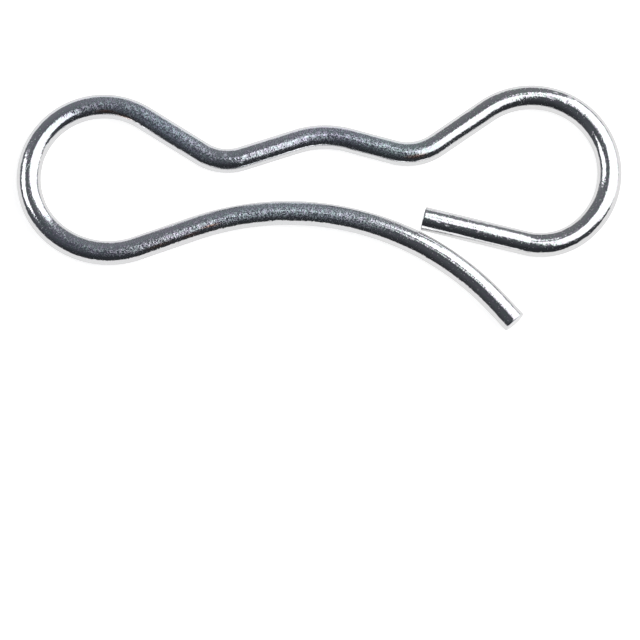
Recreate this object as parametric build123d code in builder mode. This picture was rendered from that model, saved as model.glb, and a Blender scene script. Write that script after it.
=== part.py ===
import os

from build123d import *

# Locking cotter pin: one length of round spring wire, bent flat in one plane.
# The leg goes through the cross hole of a shaft, the saddle clips over the shaft's outside,
# and the lock loop brings the wire's other end back down onto the leg.
# The pin lies on its side, at rest: Z = 0 is the surface under it, and the origin is below the
# middle of its outline. X runs from the spring loop to the lock loop, Y from the leg to the saddle.

# Wire
wire_diameter = 2.4
cut_edge_break = 0.15  # both ends are cut square, with the burr tumbled off

# Bends, in the order in which the wire is formed, from the leg's tip to the lock end.
# Lengths and radii are along the wire's centre line. A turn is in degrees, positive to the left.
tip_heading = 132.0
tip_length = 2.6

leg_bow_radius = 27.0
leg_bow_turn = 67.5
leg_straight = 5.9

spring_entry_radius = 8.1
spring_entry_turn = -60.0
spring_loop_radius = 7.2
spring_loop_turn = -172.0
spring_slope = 6.7

spring_neck_radius = 4.6
spring_neck_turn = 50.5
saddle_rise = 5.6

crown_radius = 8.7
crown_turn = -33.5
saddle_fall = 4.5

lock_neck_radius = 4.9
lock_neck_turn = 50.5
lock_slope = 6.0

lock_loop_radius = 7.5
lock_loop_turn = -178.0
lock_closing_radius = 6.2
lock_closing_turn = -51.0
lock_end_length = 10.1


def straight(before, length):
    """A straight run that carries on from the piece of wire before it."""
    return PolarLine(before @ 1, length, direction=before % 1)


def bend(before, radius, turn):
    """An arc that leaves the piece of wire before it without a kink."""
    return JernArc(before @ 1, before % 1, radius, turn)


with BuildPart() as cotter_pin:
    with BuildLine() as centre_line:
        # Leg: a straight tip that finds the cross hole, then a long bow that wedges in it
        tip = PolarLine((0, 0), tip_length, tip_heading)
        leg_bow = bend(tip, leg_bow_radius, leg_bow_turn)
        leg_run = straight(leg_bow, leg_straight)

        # Spring loop: opens a little wider on its way in than on its way out
        spring_entry = bend(leg_run, spring_entry_radius, spring_entry_turn)
        spring_loop = bend(spring_entry, spring_loop_radius, spring_loop_turn)
        spring_run = straight(spring_loop, spring_slope)

        # Saddle: a neck each side of the crown that rests on the shaft
        spring_neck = bend(spring_run, spring_neck_radius, spring_neck_turn)
        rise = straight(spring_neck, saddle_rise)
        crown = bend(rise, crown_radius, crown_turn)
        fall = straight(crown, saddle_fall)
        lock_neck = bend(fall, lock_neck_radius, lock_neck_turn)

        # Lock loop: closes a little tighter, and its end points back along the leg
        lock_run = straight(lock_neck, lock_slope)
        lock_loop = bend(lock_run, lock_loop_radius, lock_loop_turn)
        lock_closing = bend(lock_loop, lock_closing_radius, lock_closing_turn)
        lock_end = straight(lock_closing, lock_end_length)

    with BuildSketch(Plane(origin=tip @ 0, z_dir=tip % 0)):
        Circle(wire_diameter / 2)
    sweep(path=centre_line.line)
    chamfer(cotter_pin.faces().filter_by(GeomType.PLANE).edges(), cut_edge_break)

outline = cotter_pin.part.bounding_box()
to_rest = Location((-outline.center().X, -outline.center().Y, -outline.min.Z))
cotter_pin.part = cotter_pin.part.moved(to_rest)
cotter_pin.part.label = "cotter_pin"

# Sizes that a user of the pin needs, in its resting place
wire = centre_line.wire().moved(to_rest)
size = cotter_pin.part.bounding_box().size
shaft_radius = crown.distance_to(leg_bow) - wire_diameter / 2
lock_gap = lock_end.distance_to(leg_bow) - wire_diameter
print(f"overall {size.X:.2f} x {size.Y:.2f} x {size.Z:.2f} mm, from {wire.length:.1f} mm of wire")
print(f"room under the crown for a shaft of radius {shaft_radius:.2f} mm")
print(f"lock end to leg, side to side {lock_gap:.2f} mm")
print("leg tip at", wire @ 0, "pointing", -(wire % 0))
print("lock end at", wire @ 1, "pointing", wire % 1)

os.makedirs("parts", exist_ok=True)
export_step(cotter_pin.part, "parts/cotter_pin.step")
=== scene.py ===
# %% [markdown]
# # A locking cotter pin
# The pin is one length of round spring wire, bent flat in one plane and plated with bright zinc.
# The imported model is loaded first. It is the fixed frame: it says where the pin lies and how large
# it is, and everything below is built around it, in metres.

# %% Load the frame
import math

import bmesh
import bpy
from mathutils import Matrix, Vector


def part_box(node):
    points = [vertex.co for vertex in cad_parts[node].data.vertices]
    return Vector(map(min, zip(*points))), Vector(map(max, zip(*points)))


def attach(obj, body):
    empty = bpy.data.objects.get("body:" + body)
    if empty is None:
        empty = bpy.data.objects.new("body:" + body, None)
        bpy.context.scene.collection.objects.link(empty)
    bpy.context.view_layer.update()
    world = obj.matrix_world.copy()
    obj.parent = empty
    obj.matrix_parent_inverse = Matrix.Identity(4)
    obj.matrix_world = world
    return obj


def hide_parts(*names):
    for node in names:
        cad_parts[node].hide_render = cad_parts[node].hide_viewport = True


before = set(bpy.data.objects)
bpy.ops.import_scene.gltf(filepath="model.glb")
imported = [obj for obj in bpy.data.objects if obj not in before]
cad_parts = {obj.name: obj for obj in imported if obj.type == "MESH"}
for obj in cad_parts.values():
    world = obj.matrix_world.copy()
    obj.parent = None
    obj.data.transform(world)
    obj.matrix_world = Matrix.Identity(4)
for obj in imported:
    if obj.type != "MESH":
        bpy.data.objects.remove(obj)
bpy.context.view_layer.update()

mm = 0.001
pin_low, pin_high = (Vector(corner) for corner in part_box("cotter_pin"))
pin_middle = (pin_low + pin_high) / 2
print("pin box in mm:", [round(side / mm, 2) for side in pin_high - pin_low])

# %% [markdown]
# ## The bend table
# A wire former makes this pin from a coil: it feeds some wire, bends it round a pin, feeds again.
# Its program is a table, and the same table is the clearest way to describe the shape. Each row is
# a straight run, with its length, or a bend, with the radius of the wire's centre line and the
# angle it turns through, positive to the left. A straight run has no radius and no turn.

# %% The wire and its bend table
wire_radius = 1.186 * mm
tip_heading = 132.0

# what it is, its length in mm, its bend radius in mm, its turn in degrees
bend_table = (
    ("tip", 2.6, None, None),
    ("leg bow", None, 27.0, 67.5),
    ("leg run", 5.9, None, None),
    ("spring loop's entry", None, 8.1, -60.0),
    ("spring loop", None, 7.2, -172.0),
    ("spring slope", 6.7, None, None),
    ("spring neck", None, 4.6, 50.5),
    ("saddle's rise", 5.6, None, None),
    ("saddle's crown", None, 8.7, -33.5),
    ("saddle's fall", 4.5, None, None),
    ("lock neck", None, 4.9, 50.5),
    ("lock slope", 6.0, None, None),
    ("lock loop", None, 7.5, -178.0),
    ("lock loop's closing bend", None, 6.2, -51.0),
    ("lock end", 10.1, None, None),
)
print("runs and bends:", len(bend_table))

# %% [markdown]
# ## Forming the wire
# The section is one circle of edges. Extruding it and moving the new circle forward feeds wire.
# Extruding it and turning the new circle about the bend's centre bends wire. A curve with a round
# bevel would give the same tube in one step, but here every ring knows how far along the wire it
# is. That place is kept on each point as an attribute, as if the wire were still straight, so that
# scratches and plating can follow the wire round its bends.

# %% A bender that feeds and bends a ring of edges
ring_points = 64
ring_spacing = 0.2 * mm


class Bender:
    """Grows a wire from a ring of edges, a short step at a time."""

    def __init__(self, mesh, heading):
        self.mesh = mesh
        self.on_wire = mesh.verts.layers.float_vector.new("on_wire")
        self.place = Vector((0, 0, 0))
        self.heading = heading
        self.fed = 0.0
        ring = bmesh.ops.create_circle(
            mesh, cap_ends=False, segments=ring_points, radius=wire_radius
        )["verts"]
        bmesh.ops.rotate(mesh, verts=ring, matrix=Matrix.Rotation(math.radians(90), 3, "Y"))
        for point in ring:
            point[self.on_wire] = point.co
        bmesh.ops.rotate(mesh, verts=ring, matrix=Matrix.Rotation(heading, 3, "Z"))
        self.front = list(mesh.edges)
        self.first = list(mesh.edges)

    def forward(self):
        return Vector((math.cos(self.heading), math.sin(self.heading), 0))

    def grow(self, length):
        """Extrude the front ring and return the new ring's points, still in the old place."""
        made = bmesh.ops.extrude_edge_only(self.mesh, edges=self.front)["geom"]
        points = {item for item in made if isinstance(item, bmesh.types.BMVert)}
        self.front = [
            item for item in made
            if isinstance(item, bmesh.types.BMEdge) and set(item.verts) <= points
        ]
        self.fed += length
        for point in points:
            point[self.on_wire] = (self.fed, *point[self.on_wire].yz)
        return list(points)

    def straight(self, length):
        steps = math.ceil(length / ring_spacing)
        for _ in range(steps):
            move = self.forward() * length / steps
            bmesh.ops.translate(self.mesh, verts=self.grow(length / steps), vec=move)
            self.place += move

    def bend(self, radius, turn):
        length = radius * abs(turn)
        steps = math.ceil(length / ring_spacing)
        side = math.copysign(1, turn)
        to_centre = Vector((-math.sin(self.heading), math.cos(self.heading), 0)) * side * radius
        centre = self.place + to_centre
        step = Matrix.Rotation(turn / steps, 3, "Z")
        for _ in range(steps):
            bmesh.ops.rotate(self.mesh, verts=self.grow(length / steps), cent=centre, matrix=step)
        self.place = centre - Matrix.Rotation(turn, 3, "Z") @ to_centre
        self.heading += turn


# %% Run the bend table
pin_mesh = bmesh.new()
bender = Bender(pin_mesh, math.radians(tip_heading))
for name, length, radius, turn in bend_table:
    if radius is None:
        bender.straight(length * mm)
    else:
        bender.bend(radius * mm, math.radians(turn))
    print(f"{name} ends {bender.fed / mm:.1f} mm along the wire")
wire_length = bender.fed
print("points:", len(pin_mesh.verts))

# %% [markdown]
# ## The cut ends
# The wire is sheared off square and then tumbled, which takes off the burr and leaves a small
# rounded edge. Each open ring is closed with one face, and a bevel rounds its rim. A thin inset
# keeps the shading of the flat face apart from that of the rounded edge.

# %% Close and round both ends
leg_edge_round = 0.18 * mm
lock_edge_round = 0.08 * mm
cut_edge_steps = 3
flat_border = 0.04 * mm

for rim, edge_round in ((bender.first, leg_edge_round), (bender.front, lock_edge_round)):
    cap = bmesh.ops.contextual_create(pin_mesh, geom=rim)["faces"][0]
    rounded = bmesh.ops.bevel(
        pin_mesh, geom=list(cap.edges), offset=edge_round, offset_type="OFFSET",
        segments=cut_edge_steps, profile=0.5, affect="EDGES", material=-1, clamp_overlap=True,
    )["faces"]
    cap = max(pin_mesh.faces, key=lambda face: len(face.verts) if face not in rounded else 0)
    bmesh.ops.inset_individual(pin_mesh, faces=[cap], thickness=flat_border)
    print("faces round the cut end:", len(rounded))

# %% [markdown]
# ## Put the pin where the frame says
# The wire was formed from the origin, so it is moved until its box has the same middle as the
# packed pin's box. Its size isn't touched.

# %% Place the pin
bmesh.ops.recalc_face_normals(pin_mesh, faces=pin_mesh.faces)


def mesh_box(mesh):
    sides = list(zip(*(point.co for point in mesh.verts)))
    return Vector([min(side) for side in sides]), Vector([max(side) for side in sides])


low, high = mesh_box(pin_mesh)
bmesh.ops.translate(pin_mesh, verts=pin_mesh.verts, vec=pin_middle - (low + high) / 2)
for face in pin_mesh.faces:
    face.smooth = True
print("formed wire in mm:", [round(side / mm, 2) for side in high - low])

# %% [markdown]
# ## Marks from the bending tools
# The bending pins and the gripping jaws leave small dents. On a mirror they show far more than
# their depth suggests, because a tilt of five degrees moves a reflection by ten. Each one is
# pressed into the mesh: the points near it move inwards, most of all in its middle.

# %% Press the dents in
# how far along the wire and how far round it (degrees from the top, positive to the left),
# then length, width and depth, all but the degrees in mm
tool_dents = (
    (56.0, 4, 0.35, 0.25, 0.012),
    (79.5, 36, 0.40, 0.45, 0.050),
    (81.1, -26, 0.30, 0.30, 0.018),
    (81.6, -12, 0.30, 0.30, 0.018),
    (114.7, 8, 0.35, 0.35, 0.030),
    (114.2, 30, 0.60, 0.30, 0.020),
    (143.1, 20, 0.25, 0.26, 0.014),
    (143.9, 14, 0.25, 0.26, 0.012),
)


def press_dents(mesh, on_wire):
    moved = set()
    for along, around, length, width, depth in tool_dents:
        for point in mesh.verts:
            from_start, left, up = point[on_wire] / mm
            if abs(from_start - along) > length:
                continue
            turned = (math.degrees(math.atan2(left, up)) - around + 180) % 360 - 180
            off_side = math.radians(turned) * wire_radius / mm
            reach = math.hypot((from_start - along) / length, off_side / width)
            if reach < 1:
                point.co -= point.normal * depth * mm * (1 - reach ** 2) ** 2
                moved.add(point)
    return len(moved)


pin_mesh.normal_update()
print("points moved by the dents:", press_dents(pin_mesh, bender.on_wire))

# %% Make the pin's object
pin_data = bpy.data.meshes.new("formed_wire")
pin_mesh.to_mesh(pin_data)
pin_mesh.free()
pin = bpy.data.objects.new("formed_wire", pin_data)
bpy.context.scene.collection.objects.link(pin)
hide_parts("cotter_pin")
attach(pin, "root")
print("faces in the pin:", len(pin_data.polygons))

# %% [markdown]
# ## Writing a finish as sums
# A finish is a tree of nodes, and most of them only add or multiply. This small class wraps one
# socket, so that a sum written in Python makes the Math nodes that it needs.

# %% Nodes that can be written as sums
class Value:
    """One output socket, which Python's own signs can work with."""

    def __init__(self, nodes, socket):
        self.nodes = nodes
        self.socket = socket

    def math(self, operation, first, second):
        return self.nodes.add("ShaderNodeMath", {"operation": operation}, {0: first, 1: second})

    def __add__(self, other):
        return self.math("ADD", self, other)

    def __sub__(self, other):
        return self.math("SUBTRACT", self, other)

    def __rsub__(self, other):
        return self.math("SUBTRACT", other, self)

    def __mul__(self, other):
        return self.math("MULTIPLY", self, other)

    __radd__ = __add__
    __rmul__ = __mul__


# %% A tree that is filled by one method
class Nodes:
    """A node tree. Every node comes from add, by its type, its settings and its sockets."""

    def __init__(self, tree):
        self.tree = tree
        tree.nodes.clear()

    def add(self, kind, settings=None, sockets=None, output=0):
        node = self.tree.nodes.new(kind)
        for name, setting in (settings or {}).items():
            if name == "stops":
                self.set_stops(node.color_ramp, setting)
            else:
                setattr(node, name, setting)
        for name, value in (sockets or {}).items():
            if isinstance(value, Value):
                self.tree.links.new(value.socket, node.inputs[name])
            else:
                node.inputs[name].default_value = value
        return Value(self, node.outputs[output]) if len(node.outputs) else None

    def set_stops(self, ramp, stops):
        while len(ramp.elements) < len(stops):
            ramp.elements.new(0.5)
        for element, (position, colour) in zip(ramp.elements, stops):
            element.position = position
            element.color = (*colour, 1.0)

    def ramp(self, value, *stops):
        return self.add("ShaderNodeValToRGB", {"stops": stops}, {"Fac": value})

    def mix(self, factor, first, second):
        """Mix two colours."""
        return self.add(
            "ShaderNodeMix", {"data_type": "RGBA"}, {0: factor, 6: first, 7: second}, output=2
        )


# %% [markdown]
# ## Patterns that follow the wire
# The finish is written in the wire's own coordinates, which the bender left on the mesh. Noise
# stretched along them makes draw lines that run round the bends, a ramp along them changes the
# plating from one end to the other, and a mark keeps its place on the wire.

# %% A finish in the wire's own coordinates
class WireFinish(Nodes):
    """Nodes that know how far a point is along the wire, and how far up its side."""

    def __init__(self, tree):
        super().__init__(tree)
        self.on_wire = self.add("ShaderNodeAttribute", {"attribute_name": "on_wire"}, output=1)
        self.along = self.part_of_place("X") * (1 / wire_length)
        self.upness = self.part_of_place("Z") * (1 / wire_radius)

    def part_of_place(self, axis):
        return self.add("ShaderNodeSeparateXYZ", {}, {"Vector": self.on_wire}, output=axis)

    def vector_math(self, operation, first, second):
        return self.add("ShaderNodeVectorMath", {"operation": operation}, {0: first, 1: second})

    def noise(self, scale, detail=0.0, stretch=(1, 1, 1)):
        place = self.vector_math("MULTIPLY", self.on_wire, stretch)
        sockets = {"Vector": place, "Scale": scale, "Detail": detail}
        return self.add("ShaderNodeTexNoise", {}, sockets)

    def along_ramp(self, shift, stops):
        """A ramp with its stops in mm along the wire."""
        placed_stops = [(place * mm / wire_length, tint) for place, tint in stops]
        return self.ramp(self.along + shift, *placed_stops)

    def mark(self, place, around, length, width):
        """A spot that is 1 in its middle and fades to 0 at its rim."""
        angle = math.radians(around)
        middle = (place * mm, wire_radius * math.sin(angle), wire_radius * math.cos(angle))
        from_middle = self.vector_math("SUBTRACT", self.on_wire, middle)
        scaled = self.vector_math("DIVIDE", from_middle, Vector((length, width, width)) * mm)
        far = self.add("ShaderNodeVectorMath", {"operation": "LENGTH"}, {0: scaled}, output=1)
        settings = {"operation": "SUBTRACT", "use_clamp": True}
        return self.add("ShaderNodeMath", settings, {0: 1.0, 1: far})


def grey(level):
    return (level, level, level)


# %% [markdown]
# ## The colour of bright zinc
# Zinc plating is dipped in a clear passivate, a film thin enough to colour the light as oil on
# water does. Along this wire it drifts from cold blue to violet, with a few straw-coloured stains.
# The tint is mixed in mostly on the wire's upper side, where the film is looked at squarely, and a
# fine noise shifts its hue from grain to grain.

# %% Tints and stains
bare_zinc = (0.77, 0.765, 0.76, 1)
pale_zinc = (0.86, 0.86, 0.88, 1)
straw = (0.84, 0.44, 0.28, 1)

# how far along the wire in mm, and the plating's colour there
passivate_tints = (
    (13, (0.75, 0.76, 0.78)),
    (19, (0.65, 0.74, 0.85)),
    (27, (0.63, 0.75, 0.86)),
    (36, (0.66, 0.65, 0.77)),
    (45, (0.62, 0.67, 0.79)),
    (55, (0.76, 0.76, 0.78)),
    (65, (0.68, 0.73, 0.86)),
    (72, (0.58, 0.71, 0.90)),
    (83, (0.70, 0.73, 0.82)),
    (90, (0.66, 0.70, 0.88)),
    (96, (0.60, 0.78, 0.82)),
    (102, (0.75, 0.76, 0.78)),
)
tint_drift = 0.05

# the film's hue from grain to grain: violet, plain, green
film_hues = (
    (0.34, (0.78, 0.60, 0.90)),
    (0.50, (0.72, 0.75, 0.80)),
    (0.66, (0.56, 0.88, 0.76)),
)
film_hue_scale = 3800.0
film_hue_share = 0.3

# how far along in mm, degrees round from the top, length and width in mm
straw_stains = (
    (32.9, 24, 1.3, 0.18),
    (35.0, 37, 1.3, 0.20),
    (38.2, 36, 1.8, 0.20),
    (66.6, -38, 1.6, 0.26),
    (68.7, -46, 1.3, 0.22),
    (98.4, -30, 1.3, 0.30),
)


def zinc_colour(finish, on_top, tone, grains):
    hues = finish.ramp(finish.noise(film_hue_scale), *film_hues)
    tint = finish.along_ramp(tone * tint_drift - tint_drift / 2, passivate_tints)
    tint = finish.mix(film_hue_share, tint, hues)
    colour = finish.mix(on_top, bare_zinc, tint)
    for stain in straw_stains:
        colour = finish.mix(finish.mark(*stain), colour, straw)
    return finish.mix(tone * grains, colour, pale_zinc)


print("tints:", len(passivate_tints), "stains:", len(straw_stains))

# %% [markdown]
# ## Frost, pits and scuffs
# Parts of the plating look frosted: a crowd of tiny matt flecks on a polished ground. The leg's
# bow, the slope after the spring loop and the saddle look so, while the loops and both ends are
# clean mirrors. Sharp flecks in the roughness give this better than an even haze would, because
# each fleck catches a lamp or doesn't. Pits are scattered over the whole wire, and the scuffs lie
# beside the dents.

# %% How rough the plating is
# how far along the wire in mm, and how frosted the plating is there
frosted_runs = (
    (12, 0.2), (17, 0.9), (24, 1.0), (31, 0.9), (37, 0.75), (45, 0.65), (51, 0.3), (62, 0.3),
    (66, 0.85), (76, 0.8), (80, 0.5), (85, 0.8), (89, 0.9), (92, 0.65), (98, 0.75), (103, 0.25),
)

# how far along in mm, degrees round from the top, length and width in mm
scuffs = (
    (56.24, -6, 0.15, 0.07), (56.05, 0, 0.15, 0.07), (55.86, 7, 0.15, 0.07),
    (55.66, 13, 0.15, 0.07), (79.55, 16, 0.20, 0.22), (80.05, -4, 0.14, 0.12),
    (80.95, -29, 0.24, 0.13), (81.20, -22, 0.24, 0.13), (81.45, -15, 0.24, 0.13),
    (81.70, -8, 0.24, 0.13), (113.50, 27, 0.30, 0.12), (114.85, 31, 0.35, 0.12),
    (114.70, 3, 0.16, 0.34), (113.30, -6, 0.40, 0.10), (143.10, 19, 0.30, 0.10),
    (144.00, 11, 0.30, 0.10),
)

fleck_scale = 8200.0
fleck_stops = ((0.46, grey(0.0)), (0.57, grey(1.0)))
pit_scale = 4500.0
pit_stops = ((0.60, grey(0.0)), (0.70, grey(0.7)))

polished_roughness = 0.06
fleck_roughness = 0.38
pit_roughness = 0.34
scuff_roughness = 0.60


def zinc_roughness(finish, frost_on_top, scuffed):
    flecks = finish.ramp(finish.noise(fleck_scale, detail=1.0), *fleck_stops)
    pits = finish.ramp(finish.noise(pit_scale, detail=2.0), *pit_stops)
    frosted = polished_roughness + frost_on_top * flecks * fleck_roughness
    return frosted + pits * pit_roughness + scuffed * scuff_roughness


print("frosted runs:", len(frosted_runs), "scuffs:", len(scuffs))

# %% [markdown]
# ## Grains, draw lines and ripples
# The zinc grows as fine grains, about a tenth of a millimetre across, which break up the edge of
# every reflection. Under them are the draw lines of the wire and its slow ripples. The highest is
# a hundredth of a millimetre, too little to be worth a mesh, so they go into the bump. So does one
# more thing: on the real pin the lock end leans up a little where it rests on the leg, and the bump
# turns the reflections there as that lean does.

# %% How high the plating stands
patch_scale = 1700.0
draw_line_scale = 7000.0
draw_line_stretch = (0.05, 1, 1)
ripple_scale = 500.0

# heights in mm
even_grain = 0.002
patchy_grain = 0.006
frosted_grain = 0.005
patch_height = 0.005
draw_line_height = 0.005
ripple_height = 0.012
scuff_depth = 0.012

# the lean starts this far along the wire in mm, and rises by this much in each mm
lock_lift_start = 135.0
lock_lift_slope = 0.050


def zinc_height(finish, grains, frost, scuffed):
    patches = finish.noise(patch_scale)
    draw_lines = finish.noise(draw_line_scale, stretch=draw_line_stretch)
    ripples = finish.noise(ripple_scale, detail=1.0)
    height = grains * (even_grain + patches * (patchy_grain + frost * frosted_grain))
    height = height + patches * patch_height + draw_lines * draw_line_height
    height = height + ripples * ripple_height - scuffed * scuff_depth
    past_closing = finish.along * (wire_length / mm) - lock_lift_start
    lifted = finish.add("ShaderNodeMath", {"operation": "MAXIMUM"}, {0: past_closing, 1: 0.0})
    return height + lifted * lock_lift_slope


# %% [markdown]
# ## The plated wire
# The three parts share a few patterns: the grains, a slow change of tone, how frosted the place is,
# how far up the wire's side it is, and the scuffs. They meet in one Principled shader, a metal.

# %% Put the finish together
grain_scale = 6500.0
tone_scale = 220.0
top_stops = ((0.62, grey(0.1)), (0.90, grey(1.0)))


def plated_wire(name):
    material = bpy.data.materials.new(name)
    material.use_nodes = True
    finish = WireFinish(material.node_tree)
    grains = finish.noise(grain_scale)
    tone = finish.noise(tone_scale, detail=3.0)
    frost = finish.along_ramp(0.0, [(place, grey(level)) for place, level in frosted_runs])
    on_top = finish.ramp(finish.upness, *top_stops)
    scuffed = sum(finish.mark(*scuff) for scuff in scuffs)
    height = zinc_height(finish, grains, frost, scuffed)
    sockets = {
        "Base Color": zinc_colour(finish, on_top, tone, grains),
        "Metallic": 1.0,
        "Roughness": zinc_roughness(finish, frost * on_top, scuffed),
        "Normal": finish.add("ShaderNodeBump", {}, {"Distance": mm, "Height": height}),
    }
    shader = finish.add("ShaderNodeBsdfPrincipled", {}, sockets)
    finish.add("ShaderNodeOutputMaterial", {}, {"Surface": shader})
    print("nodes in the finish:", len(material.node_tree.nodes))
    return material


pin_data.materials.append(plated_wire("bright_zinc_wire"))

# %% [markdown]
# ## The table
# A white table under the pin. It takes the lamps' light and the pin's shadow as matt white, and
# adds a little of its own for the camera and for mirror reflections, so that it shows as plain
# white, as an overexposed studio table does, without any more light on the pin.

# %% A white table
table_size = 3.0
table_white = (0.85, 0.85, 0.85, 1)
table_glow = 0.70
# how much of the table's mirror image is plain white, without the pin's shadow
evenness = 0.85


def table_material():
    material = bpy.data.materials.new("white_table")
    material.use_nodes = True
    nodes = Nodes(material.node_tree)
    matt = nodes.add("ShaderNodeBsdfDiffuse", {}, {"Color": table_white})
    seen = nodes.add("ShaderNodeLightPath", output="Is Camera Ray")
    mirrored = nodes.add("ShaderNodeLightPath", output="Is Glossy Ray")
    through = nodes.add("ShaderNodeLightPath", output="Is Transmission Ray")
    plain = nodes.add("ShaderNodeEmission", {}, {"Strength": 1.0})
    plain_share = (mirrored + through) * evenness
    even = nodes.add("ShaderNodeMixShader", {}, {0: plain_share, 1: matt, 2: plain})
    glow = nodes.add("ShaderNodeEmission", {}, {"Strength": seen * table_glow})
    both = nodes.add("ShaderNodeAddShader", {}, {0: even, 1: glow})
    nodes.add("ShaderNodeOutputMaterial", {}, {"Surface": both})
    return material


def white_table():
    mesh = bmesh.new()
    bmesh.ops.create_grid(mesh, x_segments=1, y_segments=1, size=table_size / 2)
    data = bpy.data.meshes.new("table")
    mesh.to_mesh(data)
    mesh.free()
    table = bpy.data.objects.new("table", data)
    bpy.context.scene.collection.objects.link(table)
    data.materials.append(table_material())
    print("table in m:", table_size)


white_table()

# %% [markdown]
# ## The studio
# A bright metal shows its surroundings more than itself, so its look is made by what stands round
# it. Three softboxes light this pin: a large one that leans over it from the right, a small one
# behind that, and one low on the left. Each white band along the top of the wire is the mirror
# image of one of them, so a band's edges say where that box's edges are. Each box's power is worked
# out from how bright its face should look: power is brightness times pi times area.

# %% Three softboxes
# name, degrees from +X, degrees from straight up, degrees of roll, distance, width and height in
# metres, and the brightness of its face
softboxes = (
    ("right_softbox", 6.8, 45.7, 17.8, 0.42, 0.74, 0.465, 1.30),
    ("far_right_softbox", 51, 52, -5, 0.16, 0.17, 0.066, 1.45),
    ("left_softbox", 168, 52, -8, 0.48, 0.26, 0.25, 1.8),
)


def softbox(name, azimuth, zenith, roll, distance, width, height, brightness):
    """An area lamp that faces the pin."""
    lamp = bpy.data.lights.new(name, "AREA")
    lamp.shape = "RECTANGLE"
    lamp.size = width
    lamp.size_y = height
    lamp.energy = brightness * math.pi * width * height
    box = bpy.data.objects.new(name, lamp)
    bpy.context.scene.collection.objects.link(box)
    facing = (
        Matrix.Rotation(math.radians(azimuth), 3, "Z")
        @ Matrix.Rotation(math.radians(zenith), 3, "Y")
        @ Matrix.Rotation(math.radians(roll), 3, "Z")
    )
    box.location = pin_middle + facing @ Vector((0, 0, distance))
    box.rotation_euler = facing.to_euler()
    print(name, "power in W:", round(lamp.energy, 3))


for row in softboxes:
    softbox(*row)

# %% [markdown]
# ## The room
# The rest of the room is dim, and a little lighter towards the back. That gives the wire its dark
# core between the white bands. The camera sees white instead, because the photograph's ground is
# white up to its edges.

# %% The dim room
# how far towards the back, from 0 to 1, and the room's colour there
room_tones = (
    (0.10, (0.030, 0.032, 0.036)),
    (0.35, (0.079, 0.083, 0.092)),
    (0.50, (0.074, 0.078, 0.087)),
    (0.70, (0.145, 0.150, 0.160)),
    (0.95, (0.192, 0.196, 0.204)),
)
white = (1, 1, 1, 1)


def dim_room():
    world = bpy.data.worlds.new("room")
    bpy.context.scene.world = world
    world.use_nodes = True
    nodes = Nodes(world.node_tree)
    direction = nodes.add("ShaderNodeTexCoord", output="Generated")
    towards_back = nodes.add("ShaderNodeSeparateXYZ", {}, {"Vector": direction}, output="Y")
    room_tone = nodes.ramp(towards_back * 0.5 + 0.5, *room_tones)
    seen = nodes.add("ShaderNodeLightPath", output="Is Camera Ray")
    colour = nodes.mix(seen, room_tone, white)
    background = nodes.add("ShaderNodeBackground", {}, {"Color": colour, "Strength": 1.0})
    nodes.add("ShaderNodeOutputWorld", {}, {"Surface": background})
    print("nodes in the room:", len(world.node_tree.nodes))


dim_room()

# %% [markdown]
# ## The camera
# The pin was photographed from high above with a long lens, leaning a little towards the picture's
# lower edge. The frame is square, and its scale on the pin is known from the wire's thickness.

# %% A long lens, leaning 13 degrees
lean = math.radians(13)
frame_pixels = 640
pixel_size = 0.096 * mm
camera_distance = 480 * mm
nearest_seen = 10 * mm
picture_middle = Vector((0.087 * mm, -11.182 * mm, pin_middle.z))

lens = bpy.data.cameras.new("camera")
lens.sensor_fit = "HORIZONTAL"
lens.angle = 2 * math.atan(frame_pixels * pixel_size / 2 / camera_distance)
lens.clip_start = nearest_seen
camera = bpy.data.objects.new("camera", lens)
bpy.context.scene.collection.objects.link(camera)
camera.location = picture_middle + camera_distance * Vector((0, -math.sin(lean), math.cos(lean)))
camera.rotation_euler = (lean, 0, 0)
bpy.context.scene.camera = camera
bpy.context.scene.view_settings.view_transform = "Standard"
print("field of view in degrees:", round(math.degrees(lens.angle), 2))
